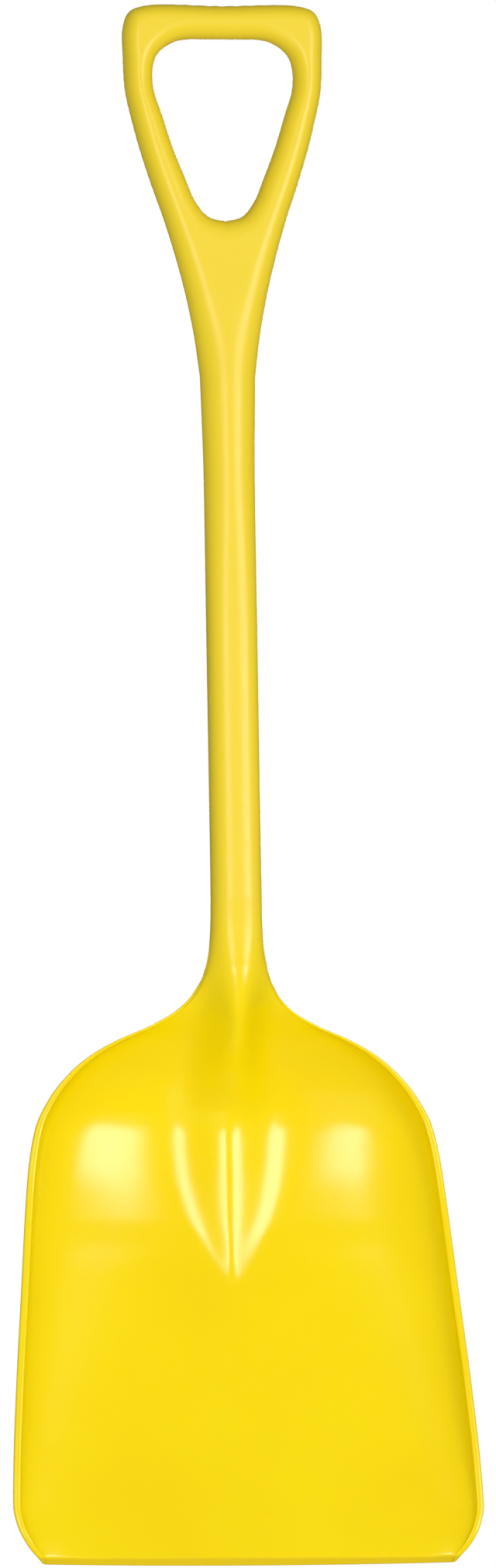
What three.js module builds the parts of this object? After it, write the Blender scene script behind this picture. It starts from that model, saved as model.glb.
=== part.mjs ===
// One-piece polypropylene grain scoop shovel with a D-grip.
// Millimetres. +Z runs up the handle, the hollow of the blade faces -Y, +X is to the right.
// The origin is the middle of the flat under the grip's crossbar, where the shovel hangs.
import * as THREE from 'three';
import { mergeVertices } from 'three/addons/utils/BufferGeometryUtils.js';

// ---- driving dimensions ----
const GAP = 0.3; // between neighbouring regions of the moulding
const HALF_GAP = GAP / 2;
const BLADE_THICKNESS = 4.8;
const RIM_THICKNESS = 5.6;
const LIP_EDGE = 2.2; // thickness left at the digging edge
const LIP_BEVEL = 6; // height of the bevel above the edge
const SPINE_FOLLOW = 0.5; // share of the spine's height that the back of the blade follows
const GRIP_HALF_DEPTH = 13.5;
const SHAFT_HALF_DEPTH = 16;
const SKIN = 4.5; // solid skin round the cellular core of the shaft
const CORE_CLEARANCE = 0.3;
const EDGE = 0.6; // half of the narrow flat left where a rounded section closes
const RIM_SWELL = 6; // power with which the blade thickens towards its rim
const TANGENT_SPAN = 0.002; // of the position across, for finding the direction of the section

// ---- heights where one region of the moulding ends and the next begins ----
const CROSSBAR_TOP = 23.5;
const OPENING_BOTTOM = -136;
const YOKE_BOTTOM = -252;
const SHAFT_BOTTOM = -640;
const NECK_BOTTOM = -716;
const BACK_BOTTOM = -800;
const LIP_TOP = -1112;
const TIP = -1131;

// Depths below the hang face where the neck's solid section starts and ends its change to the blade's shell.
const SHELL_START = 655;
const SHELL_FULL = 742;

// Where the side walls begin, as a share of the quarter turn from the middle of the blade to its rim.
const FLOOR_EDGE = 0.659;
const WALL_EDGE = 0.662;

const { lerp, smoothstep } = THREE.MathUtils;
const SHADE = { grip: 0xf0dc50, shaft: 0xf2dc46, blade: 0xf9de0a, core: 0xe8d68a };

// Smooth curve through [height, value] points, listed downwards, with no overshoot between them.
function curve(points) {
  const z = points.map((p) => -p[0]);
  const v = points.map((p) => p[1]);
  const step = z.slice(1).map((next, i) => next - z[i]);
  const rise = step.map((h, i) => (v[i + 1] - v[i]) / h);
  const slope = v.map((_, i) => {
    if (i === 0) return rise[0];
    if (i === v.length - 1) return rise[i - 1];
    if (rise[i - 1] * rise[i] <= 0) return 0;
    const before = 2 * step[i] + step[i - 1];
    const after = step[i] + 2 * step[i - 1];
    return (before + after) / (before / rise[i - 1] + after / rise[i]);
  });
  return (height) => {
    const at = THREE.MathUtils.clamp(-height, z[0], z[z.length - 1]);
    let i = 0;
    while (i < step.length - 1 && at > z[i + 1]) i += 1;
    const s = (at - z[i]) / step[i];
    const near = v[i] * (1 + 2 * s) * (1 - s) ** 2 + slope[i] * step[i] * s * (1 - s) ** 2;
    const far = v[i + 1] * s * s * (3 - 2 * s) + slope[i + 1] * step[i] * s * s * (s - 1);
    return near + far;
  };
}

// ---- profiles of the shaft, neck and blade ----
const halfWidth = curve([
  [YOKE_BOTTOM, 20.6], [-330, 19], [-450, 18.8], [-600, 18.7], [-650, 18.9], [-675, 20.2],
  [-693, 23.6], [-708, 31], [-719, 42], [-730, 61.5], [-741, 87], [-752, 106.5], [-765, 122],
  [-782, 136], [-805, 147.5], [-832, 153], [-870, 157.2], [-930, 162.5], [-1000, 168.8],
  [-1060, 173], [-1088, 174], [-1102, 171.5], [-1116, 165], [TIP, 152.5],
]);
const floorDepth = curve([
  [-650, 0], [-690, 7], [-720, 26], [-745, 45], [-765, 59], [-780, 65.7], [-792, 68.6], [-806, 69.6],
  [-828, 69], [-868, 65.2], [-895, 59.5], [-930, 49.5], [-1000, 29], [-1060, 11.5], [TIP, -9],
]);
const rimDepth = curve([
  [-650, 0], [-690, 7], [-717, 21], [-740, 27], [-780, 30], [-832, 27], [-923, 13],
  [-1004, -1], [-1085, -13], [-1112, -16], [TIP, -12],
]);
const shaftDepth = curve([[-640, 0], [-690, 5], [-725, 20], [-760, 38]]);
const spineHeight = curve([
  [-690, 20], [-729, 34], [-745, 34], [-770, 26], [-797, 14.5], [-830, 13], [-865, 9.5], [-892, 5],
  [-910, 1.8], [-920, 0],
]);
const spineSpread = curve([
  [-690, 13], [-745, 13.5], [-770, 17], [-797, 20], [-840, 19], [-865, 16], [-892, 10], [-920, 5],
]);
const floorFlatness = curve([[-790, 2.6], [-880, 2.05], [-930, 2.8], [-1040, 5.5]]);

const shellShare = (z) => smoothstep(-z, SHELL_START, SHELL_FULL);

// Share of the half width at a quarter-turn position across (-1 to 1).
const fractionAt = (across) => Math.sin((across * Math.PI) / 2);

// Middle of the section at a quarter-turn position across and a height, as x and y.
function middleAt(across, z) {
  const fraction = fractionAt(across);
  const share = shellShare(z);
  const wall = 1 - Math.sqrt(Math.max(0, 1 - Math.abs(fraction) ** floorFlatness(z)));
  const shell = lerp(floorDepth(z), rimDepth(z), wall);
  const reach = halfWidth(z) - (share * RIM_THICKNESS) / 2;
  return new THREE.Vector2(reach * fraction, lerp(shaftDepth(z), shell, share));
}

// Half the thickness on one side of the middle: front (-1) or back (+1).
function halfThickness(across, z, side) {
  const share = shellShare(z);
  const shaft = Math.max(SHAFT_HALF_DEPTH * Math.cos((across * Math.PI) / 2), EDGE);
  const plate = lerp(BLADE_THICKNESS, RIM_THICKNESS, Math.abs(fractionAt(across)) ** RIM_SWELL) / 2;
  const bevel = side < 0 ? smoothstep(-z, -TIP - LIP_BEVEL, -TIP) : 0;
  return lerp(shaft, plate, share) - bevel * (2 * plate - LIP_EDGE);
}

// Point of the front or back surface of the neck and blade.
function bladePoint(across, z, side) {
  const middle = middleAt(across, z);
  const before = middleAt(Math.max(-1, across - TANGENT_SPAN), z);
  const along = middleAt(Math.min(1, across + TANGENT_SPAN), z).sub(before).normalize();
  const half = side * halfThickness(across, z, side);
  const spine = spineHeight(z) * Math.exp(-((middle.x / spineSpread(z)) ** 2) / 2);
  const lift = shellShare(z) * spine * (1 - fractionAt(across) ** 4) * (side < 0 ? 1 : SPINE_FOLLOW);
  return new THREE.Vector3(middle.x - half * along.y, middle.y + half * along.x - lift, z);
}

// ---- outlines of the grip, right-hand half, from the top down ----
const OUTER = [
  [0, CROSSBAR_TOP], [59, CROSSBAR_TOP], [69.5, 19.8], [74, 8.5], [74.2, -14], [73, -38], [68, -62],
  [61, -88], [53, -113], [45.8, -134], [38, -160], [30.4, -190], [24.4, -222], [20.6, YOKE_BOTTOM],
];
const INNER = [
  [0, 0], [18, 0], [24, 0], [34, -1.6], [43.5, -6.7], [49.5, -13.5], [52.2, -24], [51.6, -38],
  [46, -56], [38.5, -80], [30, -102], [22, -121], [12.5, -132.5], [0, OPENING_BOTTOM],
];
const ARM_TOP = { inner: 5, outer: 4 }; // where the arms begin and end, as points of the outlines
const ARM_BOTTOM = { inner: 12, outer: 9 };
const HANG_FLAT = { halfLength: 18, halfDepth: 5 };
const yokeHalfWidth = curve(OUTER.slice(ARM_BOTTOM.outer).map(([x, z]) => [z, x]));

function outline(points) {
  const places = points.map(([x, z]) => new THREE.Vector3(x, 0, z));
  return new THREE.CatmullRomCurve3(places, false, 'centripetal');
}

const outerCurve = outline(OUTER);
const innerCurve = outline(INNER);
const OUTLINE_SAMPLES = 160;
const outerSamples = outerCurve.getPoints(OUTLINE_SAMPLES);
const innerSamples = innerCurve.getPoints(OUTLINE_SAMPLES);
const edgeRadius = curve([[-40, 11.5], [-120, 12.5], [-180, 17], [YOKE_BOTTOM, 20.6]]);
const gripHalfDepth = curve([
  [-100, GRIP_HALF_DEPTH], [-150, GRIP_HALF_DEPTH], [YOKE_BOTTOM, SHAFT_HALF_DEPTH],
]);

const nearest = (samples, point) => Math.min(...samples.map((s) => s.distanceTo(point)));

// Share of the full depth at a distance from an edge rounded with a radius.
function rounded(distance, radius) {
  const inside = 1 - Math.min(distance / radius, 1);
  return Math.sqrt(1 - inside * inside);
}

// Half depth of the grip at a point of its outline plane, in the right-hand half.
function gripDepth(point, least = EDGE) {
  const radius = edgeRadius(point.z);
  const inner = rounded(nearest(innerSamples, point), radius);
  const outer = rounded(nearest(outerSamples, point), radius);
  return Math.max(gripHalfDepth(point.z) * inner * outer, least);
}

// Point on the spoke that joins two places on the outlines, counted in outline points.
function spokePoint(inner, outer, out) {
  const from = innerCurve.getPoint(inner / (INNER.length - 1));
  const to = outerCurve.getPoint(outer / (OUTER.length - 1));
  return from.lerp(to, (1 - Math.cos(out * Math.PI)) / 2);
}

function crossbarPoint(across, out, side) {
  const share = Math.abs(2 * across - 1);
  const point = spokePoint(share * ARM_TOP.inner, share * ARM_TOP.outer, out);
  const beyondFlat = smoothstep(point.x, HANG_FLAT.halfLength, 2 * HANG_FLAT.halfLength);
  const flat = HANG_FLAT.halfDepth * (1 - beyondFlat);
  const depth = gripDepth(point, Math.max(EDGE, flat));
  const closing = HALF_GAP * share;
  return new THREE.Vector3(Math.sign(across - 0.5) * point.x, side * depth, point.z + closing);
}

function armPoint(out, down, side, hand) {
  const inner = lerp(ARM_TOP.inner, ARM_BOTTOM.inner, down);
  const outer = lerp(ARM_TOP.outer, ARM_BOTTOM.outer, down);
  const point = spokePoint(inner, outer, out);
  const closing = lerp(-HALF_GAP, HALF_GAP, down);
  return new THREE.Vector3(hand * point.x, side * gripDepth(point), point.z + closing);
}

function yokePoint(across, down, side) {
  const [crotchX, crotchZ] = INNER[ARM_BOTTOM.inner];
  const [shoulderX, shoulderZ] = OUTER[ARM_BOTTOM.outer];
  const fraction = Math.abs(2 * across - 1);
  const x = fraction * shoulderX;
  const crotch = lerp(OPENING_BOTTOM, crotchZ, (x / crotchX) ** 2);
  const top = x < crotchX ? crotch : lerp(crotchZ, shoulderZ, (x - crotchX) / (shoulderX - crotchX));
  const z = lerp(top - HALF_GAP, YOKE_BOTTOM + HALF_GAP, down);
  const point = new THREE.Vector3(fraction * yokeHalfWidth(z), 0, z);
  return point.set(Math.sign(across - 0.5) * point.x, side * gripDepth(point), z);
}

// ---- building the meshes ----
function mesh(name, color, geometry) {
  geometry.deleteAttribute('normal');
  geometry.deleteAttribute('uv');
  const merged = mergeVertices(geometry, 1e-4);
  merged.computeVertexNormals();
  const material = new THREE.MeshStandardMaterial({ color, roughness: 0.38, metalness: 0 });
  const made = new THREE.Mesh(merged, material);
  made.name = name;
  return made;
}

// Closed slab: a box whose columns and rows are carried onto a front and a back surface.
function slab(name, color, [columns, rows], place) {
  const geometry = new THREE.BoxGeometry(1, 1, 1, columns, 1, rows);
  const position = geometry.attributes.position;
  for (let i = 0; i < position.count; i += 1) {
    const point = place(position.getX(i) + 0.5, 0.5 - position.getZ(i), Math.sign(position.getY(i)));
    position.setXYZ(i, point.x, point.y, point.z);
  }
  return mesh(name, color, geometry);
}

// Region of the neck or blade between two positions across and two heights, short of its neighbours.
function bladeRegion(name, color, [left, right], [top, bottom], grid) {
  const end = bottom === TIP ? TIP : bottom + HALF_GAP;
  const place = (a, d, side) => bladePoint(lerp(left, right, a), lerp(top - HALF_GAP, end, d), side);
  return slab(name, color, grid, place);
}

// Body of revolution about the handle, flattened to the shaft's depth.
function shaftBody(name, color, profile) {
  const geometry = new THREE.LatheGeometry(profile, SHAFT_SIDES);
  geometry.rotateX(Math.PI / 2);
  const position = geometry.attributes.position;
  for (let i = 0; i < position.count; i += 1) {
    const flattening = SHAFT_HALF_DEPTH / halfWidth(position.getZ(i));
    position.setY(i, position.getY(i) * flattening);
  }
  return mesh(name, color, geometry);
}

const SHAFT_SIDES = 24;
const SHAFT_STEPS = 5;
const shaftTop = YOKE_BOTTOM - HALF_GAP;
const shaftEnd = SHAFT_BOTTOM + HALF_GAP;

// Profile of the shaft from the bottom up, set in from its surface by an inset.
function shaftProfile(inset) {
  return Array.from({ length: SHAFT_STEPS + 1 }, (_, i) => {
    const z = lerp(shaftEnd, shaftTop, i / SHAFT_STEPS);
    return new THREE.Vector2(halfWidth(z) - inset, z);
  });
}

const outside = shaftProfile(0);
const bore = shaftProfile(SKIN).reverse();
const core = shaftProfile(SKIN + CORE_CLEARANCE);
core.unshift(new THREE.Vector2(0, shaftEnd));
core.push(new THREE.Vector2(0, shaftTop));

// Columns across and rows down of each kind of slab.
const GRID = {
  crossbar: [28, 8], arm: [8, 14], yoke: [16, 10], neck: [16, 10],
  back: [28, 12], floor: [12, 14], wall: [6, 14], lip: [28, 4],
};
const WHOLE = [-1, 1];
const NECK = [SHAFT_BOTTOM, NECK_BOTTOM];
const BACK = [NECK_BOTTOM, BACK_BOTTOM];
const PAN = [BACK_BOTTOM, LIP_TOP];
const LIP = [LIP_TOP, TIP];

const object = new THREE.Group();
object.add(
  slab('grip_crossbar', SHADE.grip, GRID.crossbar, (a, d, side) => crossbarPoint(a, 1 - d, side)),
  slab('grip_left_arm', SHADE.grip, GRID.arm, (a, d, side) => armPoint(1 - a, d, side, -1)),
  slab('grip_right_arm', SHADE.grip, GRID.arm, (a, d, side) => armPoint(a, d, side, 1)),
  slab('grip_yoke', SHADE.grip, GRID.yoke, yokePoint),
  shaftBody('shaft_skin', SHADE.shaft, [...outside, ...bore, outside[0]]),
  shaftBody('shaft_core', SHADE.core, core),
  bladeRegion('neck', SHADE.shaft, WHOLE, NECK, GRID.neck),
  bladeRegion('blade_back', SHADE.blade, WHOLE, BACK, GRID.back),
  bladeRegion('blade_floor', SHADE.blade, [-FLOOR_EDGE, FLOOR_EDGE], PAN, GRID.floor),
  bladeRegion('blade_left_wall', SHADE.blade, [-1, -WALL_EDGE], PAN, GRID.wall),
  bladeRegion('blade_right_wall', SHADE.blade, [WALL_EDGE, 1], PAN, GRID.wall),
  bladeRegion('blade_lip', SHADE.blade, WHOLE, LIP, GRID.lip),
);

export default object;
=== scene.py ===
"""Looks of a one-piece polypropylene grain scoop shovel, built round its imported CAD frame.

The whole moulding is one continuous skin. It is computed once in millimetres, then divided into
pieces along the borders of the CAD nodes, with normals taken from the whole skin so that no border shows.
"""
import math

import bpy
import numpy as np
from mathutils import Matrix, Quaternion, Vector


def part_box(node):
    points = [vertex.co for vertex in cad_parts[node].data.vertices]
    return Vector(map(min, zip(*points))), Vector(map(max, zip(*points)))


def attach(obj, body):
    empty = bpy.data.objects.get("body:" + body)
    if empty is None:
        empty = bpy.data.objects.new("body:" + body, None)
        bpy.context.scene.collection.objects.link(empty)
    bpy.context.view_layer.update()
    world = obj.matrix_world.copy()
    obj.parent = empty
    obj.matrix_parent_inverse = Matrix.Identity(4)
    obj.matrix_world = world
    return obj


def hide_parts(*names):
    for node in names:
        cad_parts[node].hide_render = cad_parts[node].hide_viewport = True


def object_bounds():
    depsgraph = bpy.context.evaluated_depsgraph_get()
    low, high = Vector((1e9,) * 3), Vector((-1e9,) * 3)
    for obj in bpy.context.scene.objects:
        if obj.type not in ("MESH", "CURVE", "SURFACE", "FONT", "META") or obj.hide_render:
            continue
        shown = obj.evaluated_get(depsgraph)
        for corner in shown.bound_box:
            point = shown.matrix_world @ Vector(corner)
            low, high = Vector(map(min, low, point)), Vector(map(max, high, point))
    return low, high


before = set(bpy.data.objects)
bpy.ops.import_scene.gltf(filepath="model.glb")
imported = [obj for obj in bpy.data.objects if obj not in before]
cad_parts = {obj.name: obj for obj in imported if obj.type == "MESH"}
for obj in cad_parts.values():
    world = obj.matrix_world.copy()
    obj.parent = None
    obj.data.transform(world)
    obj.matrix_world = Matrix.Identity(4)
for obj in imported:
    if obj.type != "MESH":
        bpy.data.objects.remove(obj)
CAD_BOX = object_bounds()

MM = 0.001
TAU = 2 * math.pi


def border(upper, lower):
    """Height of the middle of the narrow gap between two CAD nodes, in millimetres."""
    return round((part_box(upper)[0][2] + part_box(lower)[1][2]) / 2 / MM, 1)


# ---- driving dimensions, in millimetres, with the borders taken from the frame ----
TOP = round(CAD_BOX[1][2] / MM, 1)
TIP = round(CAD_BOX[0][2] / MM, 1)
YOKE_BOTTOM = border("grip_yoke", "shaft_skin")
SHAFT_BOTTOM = border("shaft_skin", "neck")
NECK_BOTTOM = border("neck", "blade_back")
BACK_BOTTOM = border("blade_back", "blade_floor")
LIP_TOP = border("blade_floor", "blade_lip")
SHELL_START = -655  # heights between which the shaft's oval turns into the shell of the blade
SHELL_FULL = -742

BLADE_THICKNESS = 4.8
RIM_THICKNESS = 5.6
RIM_SWELL = 6  # power with which the blade thickens towards its rim
RIM_CROWN = 0.7  # how far the rim's end stands out, as a share of half its thickness
RIM_SQUARENESS = 3  # of the rim's section, 2 for a round one
LIP_EDGE = 2.2  # thickness left at the digging edge
LIP_BEVEL = 6  # height of the bevel above the edge
LIP_ROUNDING = 1.1
LIP_BOW = 1.5  # rise of the edge's two ends above its middle
LIP_BOW_REACH = 60  # height above the edge where the bow begins
GRIP_HALF_DEPTH = 13.5
SHAFT_HALF_DEPTH = 16
YOKE_BLEND_START = -185  # heights between which the yoke's section turns into the shaft's oval
YOKE_BLEND_FULL = YOKE_BOTTOM + 4
CREST_ROUNDING = 1.2  # of the fine crest along the spine
SPINE_FADE = 4  # power with which the spine dies out towards the rims
SPINE_FOLLOW = 0.5  # share of the spine's height that the back of the blade follows


def curve(points):
    """Smooth curve through (height, value) points, listed downwards, with no overshoot between them."""
    z = np.array([-p[0] for p in points], float)
    v = np.array([p[1] for p in points], float)
    step = np.diff(z)
    rise = np.diff(v) / step
    slope = np.zeros_like(v)
    slope[0], slope[-1] = rise[0], rise[-1]
    for i in range(1, len(v) - 1):
        if rise[i - 1] * rise[i] > 0:
            before = 2 * step[i] + step[i - 1]
            after = step[i] + 2 * step[i - 1]
            slope[i] = (before + after) / (before / rise[i - 1] + after / rise[i])

    def value(height):
        at = np.clip(-np.asarray(height, float), z[0], z[-1])
        i = np.clip(np.searchsorted(z, at, side="right") - 1, 0, len(step) - 1)
        s = (at - z[i]) / step[i]
        near = v[i] * (1 + 2 * s) * (1 - s) ** 2 + slope[i] * step[i] * s * (1 - s) ** 2
        far = v[i + 1] * s * s * (3 - 2 * s) + slope[i + 1] * step[i] * s * s * (s - 1)
        return near + far

    return value


def smoothstep(x, start, end):
    s = np.clip((x - start) / (end - start), 0, 1)
    return s * s * (3 - 2 * s)


def mix(a, b, share):
    return a + (b - a) * share


# ---- profiles of the shaft, neck and blade: the CAD model's, with a fine crest and a squarer shaft ----
half_width = curve([
    (YOKE_BOTTOM, 20.6), (-330, 19), (-450, 18.8), (-600, 18.7), (-650, 18.9), (-675, 20.2),
    (-693, 23.6), (-708, 31), (-719, 42), (-730, 61.5), (-741, 87), (-752, 106.5), (-765, 122),
    (-782, 136), (-805, 147.5), (-832, 153), (-870, 157.2), (-930, 162.5), (-1000, 168.8),
    (-1060, 173), (-1088, 174), (-1102, 171.5), (-1116, 165), (TIP, 152.5),
])
floor_depth = curve([
    (-650, 0), (-690, 7), (-720, 26), (-745, 45), (-765, 59), (-780, 65.7), (-792, 68.6), (-806, 69.6),
    (-828, 69), (-868, 65.2), (-895, 59.5), (-930, 49.5), (-1000, 29), (-1060, 11.5), (TIP, -9),
])
rim_depth = curve([
    (-650, 0), (-690, 7), (-717, 21), (-740, 27), (-780, 30), (-832, 27), (-923, 13),
    (-1004, -1), (-1085, -13), (-1112, -16), (TIP, -12),
])
shaft_depth = curve([(-640, 0), (-690, 5), (-725, 20), (-760, 38)])
spine_height = curve([
    (-690, 20), (-729, 34), (-745, 34), (-770, 26), (-797, 14.5), (-830, 13), (-865, 9.5), (-892, 5),
    (-910, 1.8), (-920, 0),
])
spine_spread = curve([
    (-690, 13), (-745, 13.5), (-770, 17), (-797, 20), (-840, 19), (-865, 16), (-892, 10), (-920, 5),
])
crest_height = curve([(-770, 0), (-800, 0.7), (-870, 0.9), (-900, 1), (-922, 0)])
crest_spread = curve([(-800, 6), (-870, 4), (-900, 2.6), (-922, 1.6)])
shaft_squareness = curve([(-330, 2), (-460, 2.5), (-655, 2.5)])
floor_flatness = curve([(-790, 2.6), (-880, 2.05), (-930, 2.8), (-1040, 5.5)])

COLUMNS = 144  # across the front, and again across the back
RIM_STEPS = 12  # round each rim
CLOSING_STEPS = 5  # round the digging edge
SHAFT_SPREAD = 0.93  # share of a half turn of the shaft that the front columns cover
TANGENT_SPAN = 0.002  # step to either side that gives the direction of the middle line


def shell_share(z):
    return smoothstep(-z, -SHELL_START, -SHELL_FULL)


def squared_turn(angles, squareness):
    """Sine and cosine of the angles on an oval that gets squarer as squareness rises from 2."""
    power = 2 / squareness
    sine, cosine = np.sin(angles), np.cos(angles)
    return np.sign(sine) * np.abs(sine) ** power, np.sign(cosine) * np.abs(cosine) ** power


def middle_line(across, z):
    """Middle of the shell at places across from -1 to 1, crowded towards the rims, at one height."""
    fraction = np.sin(across * math.pi / 2)
    wall = 1 - np.sqrt(np.maximum(0, 1 - np.abs(fraction) ** floor_flatness(z)))
    shell = mix(floor_depth(z), rim_depth(z), wall)
    x = (half_width(z) - shell_share(z) * RIM_THICKNESS / 2) * fraction
    return np.column_stack([x, mix(shaft_depth(z), shell, shell_share(z))])


def unit(vectors):
    return vectors / np.linalg.norm(vectors, axis=-1, keepdims=True)


def lip_closing(z):
    """Share of its thickness that the blade keeps as its edge rounds off."""
    s = np.clip((TIP + LIP_ROUNDING - z) / LIP_ROUNDING, 0, 1)
    return math.sqrt(max(0, 1 - s * s))


def half_thicknesses(fraction, z):
    """Distances of the front and the back from the middle line, with the bevel and the rounded edge."""
    plate = mix(BLADE_THICKNESS, RIM_THICKNESS, np.abs(fraction) ** RIM_SWELL) / 2
    bevel = smoothstep(-z, -TIP - LIP_BEVEL, -TIP)
    front = plate - bevel * (2 * plate - LIP_EDGE)
    half = (front + plate) / 2 * lip_closing(z)
    shift = (front - plate) / 2
    return half + shift, half - shift


def rim(front, back, outward):
    """Rounded end of the shell from its front edge to its back edge, without these two."""
    sine, cosine = squared_turn(np.linspace(0, math.pi, RIM_STEPS + 1)[1:-1], RIM_SQUARENESS)
    half = (front - back) / 2
    crown = outward * np.linalg.norm(half) * RIM_CROWN
    return (front + back) / 2 + half * cosine[:, None] + crown * sine[:, None]


def spine_rise(x, fraction, z):
    """How far the spine and its fine crest stand forward."""
    ridge = spine_height(z) * np.exp(-(x / spine_spread(z)) ** 2 / 2)
    crest = crest_height(z) * np.exp(-np.hypot(x, CREST_ROUNDING) / crest_spread(z))
    return (ridge + crest) * (1 - fraction ** SPINE_FADE)


def shell_loop(z):
    """Closed section of the blade: the front, the right rim, the back and the left rim."""
    across = np.linspace(-1, 1, COLUMNS + 1)
    fraction = np.sin(across * math.pi / 2)
    middle = middle_line(across, z)
    before = middle_line(np.maximum(across - TANGENT_SPAN, -1), z)
    after = middle_line(np.minimum(across + TANGENT_SPAN, 1), z)
    along = unit(after - before)
    forward = np.column_stack([along[:, 1], -along[:, 0]])
    front_half, back_half = half_thicknesses(fraction, z)
    front = middle + forward * front_half[:, None]
    back = middle - forward * back_half[:, None]
    right_rim = rim(front[-1], back[-1], along[-1])
    left_rim = rim(front[0], back[0], -along[0])
    rise = spine_rise(middle[:, 0], fraction, z)
    front[:, 1] -= rise
    back[:, 1] -= SPINE_FOLLOW * rise
    return np.concatenate([front, right_rim, back[::-1], left_rim[::-1]])


def loop_angles():
    """Angles round the shaft's oval that match the points of the shell's section."""
    half = math.pi / 2 * SHAFT_SPREAD
    front = np.linspace(-half, half, COLUMNS + 1)
    right = np.linspace(half, math.pi - half, RIM_STEPS + 1)[1:-1]
    back = np.linspace(math.pi - half, math.pi + half, COLUMNS + 1)
    left = np.linspace(math.pi + half, TAU - half, RIM_STEPS + 1)[1:-1]
    return np.concatenate([front, right, back, left])


ANGLES = loop_angles()


def section(z):
    """Loop of points round the shaft, the neck or the blade at one height."""
    sine, cosine = squared_turn(ANGLES, shaft_squareness(z))
    oval = np.column_stack([half_width(z) * sine, shaft_depth(z) - SHAFT_HALF_DEPTH * cosine])
    loop = mix(oval, shell_loop(z), shell_share(z))
    bow = LIP_BOW * smoothstep(-z, -TIP - LIP_BOW_REACH, -TIP)
    return np.column_stack([loop, z + bow * (loop[:, 0] / half_width(z)) ** 2])


def blade_heights():
    """Heights of the rows from the yoke down to the digging edge, closer where the shape turns more."""
    spans = [
        (YOKE_BOTTOM, SHAFT_BOTTOM, 64), (SHAFT_BOTTOM, NECK_BOTTOM, 48), (NECK_BOTTOM, BACK_BOTTOM, 64),
        (BACK_BOTTOM, LIP_TOP, 104), (LIP_TOP, TIP + LIP_ROUNDING, 18),
    ]
    rows = [np.linspace(top, bottom, count + 1)[:-1] for top, bottom, count in spans]
    closing = TIP + LIP_ROUNDING * (1 - np.sin(np.linspace(0, math.pi / 2, CLOSING_STEPS + 1)))
    return np.concatenate([*rows, closing])


# ---- outlines of the grip, right-hand half, from the top down, the same as the CAD model's ----
OUTER = [(0, TOP), (59, TOP), (69.5, 19.8), (74, 8.5), (74.2, -14), (73, -38), (68, -62), (61, -88),
         (53, -113), (45.8, -134), (38, -160), (30.4, -190), (24.4, -222), (20.6, YOKE_BOTTOM)]
INNER = [(0, 0), (18, 0), (24, 0), (34, -1.6), (43.5, -6.7), (49.5, -13.5), (52.2, -24), (51.6, -38),
         (46, -56), (38.5, -80), (30, -102), (22, -121), (12.5, -132.5), (0, -136)]
ARM_TOP = (5, 4)  # places on the inner and the outer outline where the arms begin
ARM_BOTTOM = (12, 9)
CROTCH_SHARE = 0.55  # share of the opening's foot with spokes to the yoke's sides, the rest go to the cut
BAR_SPOKES, ARM_SPOKES, YOKE_SPOKES = 48, 72, 60
ACROSS_STEPS = 32

edge_radius = curve([(-40, 11.5), (-120, 12.5), (-180, 17), (YOKE_BOTTOM, 20.6)])
grip_half_depth = curve([
    (-100, GRIP_HALF_DEPTH), (-150, GRIP_HALF_DEPTH), (YOKE_BOTTOM, SHAFT_HALF_DEPTH),
])
yoke_half_width = curve([(z, x) for x, z in OUTER[ARM_BOTTOM[1]:]])


def outline(points):
    """Centripetal spline through the points, as a function of the place counted in points."""
    p = np.array(points, float)
    p = np.vstack([2 * p[0] - p[1], p, 2 * p[-1] - p[-2]])
    knots = np.concatenate([[0], np.cumsum(np.linalg.norm(np.diff(p, axis=0), axis=1) ** 0.5)])

    def value(place):
        place = np.atleast_1d(np.asarray(place, float))
        i = np.clip(place.astype(int), 0, len(points) - 2)
        k = [knots[i + n] for n in range(4)]
        q = [p[i + n] for n in range(4)]
        t = (k[1] + (k[2] - k[1]) * (place - i))[:, None]
        k = [n[:, None] for n in k]
        a = [((k[n + 1] - t) * q[n] + (t - k[n]) * q[n + 1]) / (k[n + 1] - k[n]) for n in range(3)]
        b = [((k[n + 2] - t) * a[n] + (t - k[n]) * a[n + 1]) / (k[n + 2] - k[n]) for n in range(2)]
        return ((k[2] - t) * b[0] + (t - k[1]) * b[1]) / (k[2] - k[1])

    return value


outer_line = outline(OUTER)
inner_line = outline(INNER)
SAMPLES = 700  # along an outline, for distances to it


def closest(line, count, points):
    """Distance from each point to a line, both taken in the right-hand half."""
    samples = line(np.linspace(0, count - 1, SAMPLES))
    return np.sqrt(((points[:, None] - samples[None]) ** 2).sum(-1)).min(1)


def rounded(distance, radius):
    """Share of the full depth at a distance from an edge rounded with this radius."""
    inside = 1 - np.minimum(distance / radius, 1)
    return np.sqrt(1 - inside ** 2)


def grip_depth(points):
    """Half depth of the grip at points of its outline plane, meeting the shaft's oval at the bottom."""
    x, z = points.T
    radius = edge_radius(z)
    grip = rounded(closest(inner_line, len(INNER), points), radius)
    grip = grip * rounded(closest(outer_line, len(OUTER), points), radius)
    oval = np.sqrt(np.maximum(0, 1 - (x / yoke_half_width(z)) ** 2))
    return grip_half_depth(z) * mix(grip, oval, smoothstep(-z, -YOKE_BLEND_START, -YOKE_BLEND_FULL))


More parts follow.
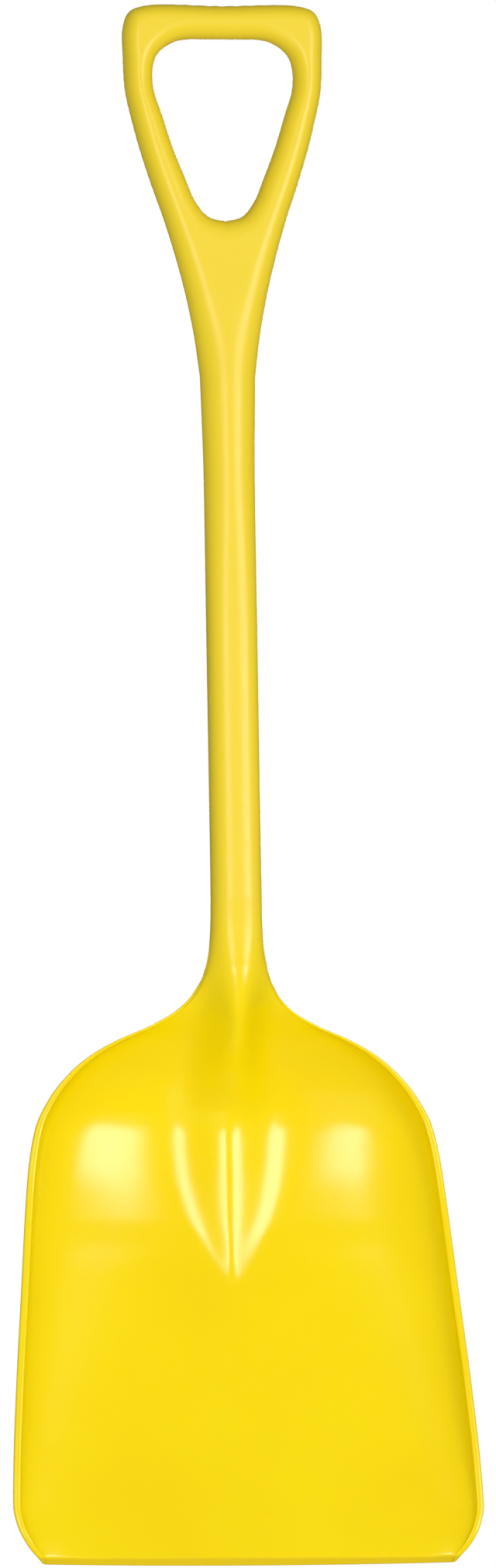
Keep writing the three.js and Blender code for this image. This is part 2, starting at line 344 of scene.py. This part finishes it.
def spokes():
    """Both ends of every spoke from the hand opening to the outer outline, right-hand half, from the
    middle of the crossbar round to the middle of the cut across the shaft."""
    last = len(INNER) - 1
    crotch = mix(ARM_BOTTOM[0], last, CROTCH_SHARE)
    stops = [(0, 0), ARM_TOP, ARM_BOTTOM, (crotch, len(OUTER) - 1)]
    places = np.concatenate([
        mix(np.array(start), np.array(stop), np.linspace(0, 1, count + 1)[:-1, None])
        for start, stop, count in zip(stops, stops[1:], (BAR_SPOKES, ARM_SPOKES, YOKE_SPOKES))
    ])
    begin, end = inner_line(places[:, 0]), outer_line(places[:, 1])
    quarter = ANGLES[COLUMNS // 2:COLUMNS + RIM_STEPS // 2 + 1][::-1]
    cut = np.column_stack([half_width(YOKE_BOTTOM) * np.sin(quarter), np.full(len(quarter), YOKE_BOTTOM)])
    foot = inner_line(mix(crotch, last, np.linspace(0, 1, len(quarter))))
    return np.vstack([begin, foot]), np.vstack([end, cut])


# ---- the skin as one mesh ----
WELD_CELLS = 2000  # a millimetre; points in the same cell become one


class Skin:
    """Vertices, faces and the region of each face, gathered before the skin is welded."""

    def __init__(self):
        self.points, self.faces, self.regions, self.count = [], [], [], 0

    def grid(self, loops, region_of, closed=True):
        """Faces between neighbouring loops, given as an array of rows of points."""
        rows, columns, _ = loops.shape
        base = self.count
        self.points.append(loops.reshape(-1, 3))
        self.count += rows * columns
        for r in range(rows - 1):
            for c in range(columns if closed else columns - 1):
                n = (c + 1) % columns
                quad = (base + r * columns + c, base + r * columns + n,
                        base + (r + 1) * columns + n, base + (r + 1) * columns + c)
                self.faces.append(quad)
                self.regions.append(region_of(r))


def grip_loops(hand):
    """Front and back of one half of the grip, as rows of points along the spokes; hand is 1 or -1."""
    begin, end = spokes()
    share = (1 - np.cos(np.linspace(0, math.pi, ACROSS_STEPS + 1))) / 2
    flat = begin[:, None] + (end - begin)[:, None] * share[None, :, None]
    depth = grip_depth(flat.reshape(-1, 2)).reshape(flat.shape[:2])
    depth[:, 0] = 0
    on_outline = np.arange(len(begin)) < BAR_SPOKES + ARM_SPOKES + YOKE_SPOKES
    depth[on_outline, -1] = 0
    front = np.stack([hand * flat[..., 0], -depth, flat[..., 1]], -1)
    back = np.stack([hand * flat[..., 0], depth, flat[..., 1]], -1)
    return front, back


def build_skin():
    """Shaft, neck and blade as one grid, and the front and the back of each half of the grip."""
    skin = Skin()
    heights = blade_heights()
    loops = np.stack([section(z) for z in heights])
    regions = [(SHAFT_BOTTOM, "shaft"), (NECK_BOTTOM, "neck"), (BACK_BOTTOM, "blade_back"),
               (LIP_TOP, "blade_pan"), (-math.inf, "blade_lip")]

    def row_region(row):
        middle = (heights[row] + heights[row + 1]) / 2
        return next(name for bottom, name in regions if middle > bottom)

    skin.grid(loops, row_region)
    for hand, side in ((1, "right"), (-1, "left")):
        front, back = grip_loops(hand)

        def spoke_region(row, side=side):
            if row < BAR_SPOKES:
                return "grip_crossbar"
            return f"grip_{side}_arm" if row < BAR_SPOKES + ARM_SPOKES else "grip_yoke"

        skin.grid(front if hand > 0 else front[:, ::-1], spoke_region, closed=False)
        skin.grid(back[:, ::-1] if hand > 0 else back, spoke_region, closed=False)
    return skin


def weld(skin):
    """Joins points that lie together and drops the faces that this closes up."""
    points = np.concatenate(skin.points)
    keys = np.round(points * WELD_CELLS).astype(np.int64)
    _, first, where = np.unique(keys, axis=0, return_index=True, return_inverse=True)
    where = where.ravel()
    faces, regions = [], []
    for face, region in zip(skin.faces, skin.regions):
        corners = list(dict.fromkeys(where[list(face)].tolist()))
        if len(corners) > 2:
            faces.append(corners)
            regions.append(region)
    return points[first] * MM, faces, regions


def boundary_loops(faces):
    """Closed chains of the edges that only one face uses, wound to close the hole."""
    used = dict.fromkeys((a, b) for face in faces for a, b in zip(face, face[1:] + face[:1]))
    follows = {b: a for a, b in used if (b, a) not in used}
    loops = []
    while follows:
        start, at = next(iter(follows.items()))
        loop = [start]
        del follows[start]
        while at != start:
            loop.append(at)
            at = follows.pop(at)
        loops.append(loop)
    return loops


def skin_piece(name, region, points, faces, regions, normals):
    """One region of the skin as a closed mesh whose outside keeps the whole skin's normals."""
    outside = [f for f, r in zip(faces, regions) if r == region]
    caps = boundary_loops(outside)
    used = sorted({v for face in outside for v in face})
    index = {v: i for i, v in enumerate(used)}
    mesh = bpy.data.meshes.new(name)
    mesh.from_pydata([points[v] for v in used], [], [[index[v] for v in f] for f in outside + caps])
    mesh.shade_smooth()
    corner_normals = np.zeros((len(mesh.loops), 3))
    for polygon, face in zip(mesh.polygons, outside + caps):
        loops = list(polygon.loop_indices)
        corner_normals[loops] = normals[face] if polygon.index < len(outside) else polygon.normal
    mesh.normals_split_custom_set([tuple(n) for n in corner_normals])
    piece = bpy.data.objects.new(name, mesh)
    bpy.context.collection.objects.link(piece)
    return piece


def whole_normals(points, faces):
    """Smooth normals of the undivided skin, one a point."""
    mesh = bpy.data.meshes.new("whole_skin")
    mesh.from_pydata([tuple(p) for p in points], [], faces)
    normals = np.zeros(len(points) * 3)
    mesh.vertex_normals.foreach_get("vector", normals)
    bpy.data.meshes.remove(mesh)
    return normals.reshape(-1, 3)


# ---- materials ----
class Nodes:
    """Short forms for building a node tree."""

    def __init__(self, name):
        self.material = bpy.data.materials.new(name)
        self.material.use_nodes = True
        self.tree = self.material.node_tree
        self.shader = self.tree.nodes["Principled BSDF"]
        self.place = self.add("ShaderNodeTexCoord").outputs["Object"]

    def add(self, kind, inputs=None, **settings):
        node = self.tree.nodes.new(kind)
        for key, value in settings.items():
            setattr(node, key, value)
        for key, value in (inputs or {}).items():
            if isinstance(value, bpy.types.NodeSocket):
                self.tree.links.new(value, node.inputs[key])
            else:
                node.inputs[key].default_value = value
        return node

    def noise(self, scale, detail):
        """Cloudy value from 0 to 1, with about scale clouds a metre."""
        inputs = {"Vector": self.place, "Scale": scale, "Detail": detail}
        return self.add("ShaderNodeTexNoise", inputs).outputs["Fac"]

    def between(self, value, low, high, to_low, to_high):
        """Value moved from the range low to high into the range to_low to to_high."""
        inputs = {"Value": value, "From Min": low, "From Max": high, "To Min": to_low, "To Max": to_high}
        return self.add("ShaderNodeMapRange", inputs).outputs["Result"]

    def link(self, output, name):
        self.tree.links.new(output, self.shader.inputs[name])


YELLOW = (0.92, 0.735, 0.001, 1)
DEEP_YELLOW = (0.9, 0.7, 0.001, 1)
SHEEN_PALE_YELLOW = (0.865, 0.685, 0.022, 1)  # of the handle: a paler yellow that paints the sheen of the white room reflected by its rounded surfaces
HANDLE_BLEND = (-0.72, -0.64)  # heights in metres between which the blade's colour turns to the handle's painted sheen colour
WORN_YELLOW = (0.74, 0.56, 0.006, 1)  # of the digging edge, scuffed by floors
SCUFF_BLEND = (TIP * MM + 0.0045, TIP * MM + 0.0065)  # heights in metres between which scuffing ends
SCUFF_DRIFT = (-0.001, 0.001)  # of those heights, for a ragged border
SATIN = (0.19, 0.34)  # roughness of the blade and of the handle
SATIN_DRIFT = (-0.02, 0.02)  # of the roughness
CORE_SHADES = (  # of its cells, from the middle to the walls
    (0.8, 0.62, 0.2, 1), (0.9, 0.75, 0.35, 1),
)
FLOOR_GREY = (0.95, 0.95, 0.94, 1)
DRIFT_SCALE, SCUFF_SCALE, CLOUD_SCALE, GRAIN_SCALE, CELL_SCALE = 9, 60, 160, 1400, 900  # features a metre


def polypropylene():
    """Satin yellow moulded plastic: slow colour drift, fine grain, a painted sheen that pales the handle
    and a scuffed digging edge.
    """
    n = Nodes("yellow_polypropylene")
    drift = n.between(n.noise(DRIFT_SCALE, 2), 0.35, 0.65, 0, 1)
    colour = n.add("ShaderNodeMix", {"Factor": drift, "A": YELLOW, "B": DEEP_YELLOW}, data_type="RGBA")
    height = n.add("ShaderNodeSeparateXYZ", {"Vector": n.place}).outputs["Z"]
    handle = n.between(height, *HANDLE_BLEND, 0, 1)
    # painted sheen: the handle turns a paler yellow in place of the white room's reflection
    pale = n.add("ShaderNodeMix", {"Factor": handle, "A": colour.outputs["Result"], "B": SHEEN_PALE_YELLOW},
                 data_type="RGBA")
    raggedness = n.between(n.noise(SCUFF_SCALE, 4), 0, 1, *SCUFF_DRIFT)
    ragged = n.add("ShaderNodeMath", {0: height, 1: raggedness}, operation="ADD")
    scuff = n.between(ragged.outputs[0], *SCUFF_BLEND, 1, 0)
    worn = n.add("ShaderNodeMix", {"Factor": scuff, "A": pale.outputs["Result"], "B": WORN_YELLOW},
                 data_type="RGBA")
    n.link(worn.outputs["Result"], "Base Color")
    cloud = n.between(n.noise(CLOUD_SCALE, 4), 0.3, 0.7, *SATIN_DRIFT)
    satin = n.between(handle, 0, 1, *SATIN)
    n.link(n.add("ShaderNodeMath", {0: cloud, 1: satin}, operation="ADD").outputs[0], "Roughness")
    specks = n.noise(GRAIN_SCALE, 2)
    grain = n.add("ShaderNodeBump", {"Height": specks, "Strength": 0.06, "Distance": 0.0004})
    n.link(grain.outputs["Normal"], "Normal")
    n.shader.inputs["IOR"].default_value = 1.49
    return n.material


def cellular_core():
    """Pale foamed plastic, hidden inside the shaft."""
    n = Nodes("cellular_core")
    cells = n.add("ShaderNodeTexVoronoi", {"Vector": n.place, "Scale": CELL_SCALE}).outputs["Distance"]
    middle, wall = CORE_SHADES
    colour = n.add("ShaderNodeMix", {"Factor": cells, "A": middle, "B": wall}, data_type="RGBA")
    n.link(colour.outputs["Result"], "Base Color")
    bump = n.add("ShaderNodeBump", {"Height": cells, "Strength": 0.6, "Distance": 0.0006})
    n.link(bump.outputs["Normal"], "Normal")
    n.shader.inputs["Roughness"].default_value = 0.8
    return n.material


def plain(name, colour, roughness):
    n = Nodes(name)
    n.shader.inputs["Base Color"].default_value = colour
    n.shader.inputs["Roughness"].default_value = roughness
    return n.material


# ---- the object ----
# region of the skin: name of its piece and the CAD nodes that the piece replaces
PIECES = {
    "grip_crossbar": ("crossbar_skin", ["grip_crossbar"]),
    "grip_left_arm": ("left_arm_skin", ["grip_left_arm"]),
    "grip_right_arm": ("right_arm_skin", ["grip_right_arm"]),
    "grip_yoke": ("yoke_skin", ["grip_yoke"]),
    "shaft": ("shaft_outer_skin", ["shaft_skin"]),
    "neck": ("neck_skin", ["neck"]),
    "blade_back": ("blade_back_skin", ["blade_back"]),
    "blade_pan": ("blade_pan_skin", ["blade_floor", "blade_left_wall", "blade_right_wall"]),
    "blade_lip": ("blade_lip_skin", ["blade_lip"]),
}


def build_shovel():
    points, faces, regions = weld(build_skin())
    normals = whole_normals(points, faces)
    material = polypropylene()
    for region, (name, nodes) in PIECES.items():
        piece = skin_piece(name, region, points, faces, regions, normals)
        piece.data.materials.append(material)
        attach(piece, "root")
        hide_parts(*nodes)
    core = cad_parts["shaft_core"]
    core.data.materials.clear()
    core.data.materials.append(cellular_core())


# ---- stage, light and camera ----
FLOOR_DROP = 0.35  # from the digging edge down to the floor
FLOOR_SIZE = 1.3
CAMERA_DISTANCE = 14
CAMERA_AZIMUTH = math.radians(-8.5)
CAMERA_ELEVATION = math.radians(-6.5)
CAMERA_ROLL = math.radians(-0.95)
FRAME_HEIGHT = 1.154  # of the picture, at the handle's distance
AIM_RIGHT = 0.01  # distance from the handle's axis to the middle of the picture
AIM_HEIGHT = -0.5543  # of the middle of the picture
LAMP_COLOUR = (1, 0.91, 1)
SOFTBOX_ROLL = -22  # degrees that the two tall softboxes lean, which slants their reflections
AMBIENT = 0.41  # strength of the white room on matt surfaces
ROOM_SHEEN = 0.03  # strength of the white room in reflections
WHITE = (1, 1, 1, 1)


def build_stage():
    half = FLOOR_SIZE / 2
    z = CAD_BOX[0][2] - FLOOR_DROP
    mesh = bpy.data.meshes.new("floor")
    corners = [(-half, -half, z), (half, -half, z), (half, half, z), (-half, half, z)]
    mesh.from_pydata(corners, [], [(0, 1, 2, 3)])
    mesh.materials.append(plain("pale_floor", FLOOR_GREY, 0.7))
    floor = bpy.data.objects.new("floor", mesh)
    bpy.context.collection.objects.link(floor)
    floor.visible_glossy = False


def softbox(name, azimuth, distance, height, size, power, roll=0, seen=True):
    """Area light aimed at the shovel's middle, at an angle round from its front. Roll turns it about its
    own axis, and one that isn't seen lights the shovel without a reflection."""
    lamp = bpy.data.lights.new(name, "AREA")
    lamp.shape = "RECTANGLE"
    lamp.size, lamp.size_y = size
    lamp.energy = power
    lamp.color = LAMP_COLOUR
    light = bpy.data.objects.new(name, lamp)
    turn = math.radians(azimuth)
    place = Vector((distance * math.sin(turn), -distance * math.cos(turn), height))
    light.location = place
    facing = (Vector((0, 0, AIM_HEIGHT)) - place).to_track_quat("-Z", "Y")
    light.rotation_euler = (facing @ Quaternion((0, 0, 1), math.radians(roll))).to_euler()
    light.visible_glossy = seen
    light.visible_camera = False
    bpy.context.collection.objects.link(light)


def build_world():
    """White to the camera, with one strength for matt light and a lower one for reflections."""
    world = bpy.data.worlds.new("studio")
    world.use_nodes = True
    tree = world.node_tree
    path = tree.nodes.new("ShaderNodeLightPath")
    shade = tree.nodes["Background"].outputs[0]
    tree.nodes["Background"].inputs["Color"].default_value = WHITE
    tree.nodes["Background"].inputs["Strength"].default_value = AMBIENT
    for ray, strength in (("Is Glossy Ray", ROOM_SHEEN), ("Is Camera Ray", 1)):
        other = tree.nodes.new("ShaderNodeBackground")
        other.inputs["Color"].default_value = WHITE
        other.inputs["Strength"].default_value = strength
        choice = tree.nodes.new("ShaderNodeMixShader")
        tree.links.new(path.outputs[ray], choice.inputs["Fac"])
        tree.links.new(shade, choice.inputs[1])
        tree.links.new(other.outputs[0], choice.inputs[2])
        shade = choice.outputs[0]
    tree.links.new(shade, tree.nodes["World Output"].inputs["Surface"])
    bpy.context.scene.world = world


def build_light():
    softbox("left_softbox", azimuth=-14, distance=5, height=-0.1, size=(1.1, 1.6), power=50,
            roll=SOFTBOX_ROLL)
    softbox("right_softbox", azimuth=31, distance=5, height=-0.1, size=(1.9, 1.6), power=85,
            roll=SOFTBOX_ROLL)
    softbox("top_softbox", azimuth=8, distance=1.2, height=0.85, size=(0.9, 0.25), power=0.9)
    softbox("fill_softbox", azimuth=-20, distance=3.2, height=-2.2, size=(2.2, 2.2), power=36, seen=False)
    softbox("back_softbox", azimuth=165, distance=4, height=0.6, size=(2, 2), power=70)
    build_world()


def build_camera():
    """Far camera, so that the view is almost without perspective."""
    data = bpy.data.cameras.new("camera")
    data.sensor_width = 36
    data.lens = data.sensor_width * CAMERA_DISTANCE / FRAME_HEIGHT
    camera = bpy.data.objects.new("camera", data)
    level = math.cos(CAMERA_ELEVATION)
    sine, cosine = math.sin(CAMERA_AZIMUTH), math.cos(CAMERA_AZIMUTH)
    back = Vector((sine * level, -cosine * level, math.sin(CAMERA_ELEVATION)))
    right = Vector((cosine, sine, 0))
    camera.location = right * AIM_RIGHT + Vector((0, 0, AIM_HEIGHT)) + back * CAMERA_DISTANCE
    camera.rotation_mode = "QUATERNION"
    camera.rotation_quaternion = Quaternion(back, CAMERA_ROLL) @ back.to_track_quat("Z", "Y")
    bpy.context.collection.objects.link(camera)
    bpy.context.scene.camera = camera


build_camera()
build_shovel()
build_stage()
build_light()
bpy.context.scene.view_settings.view_transform = "Standard"
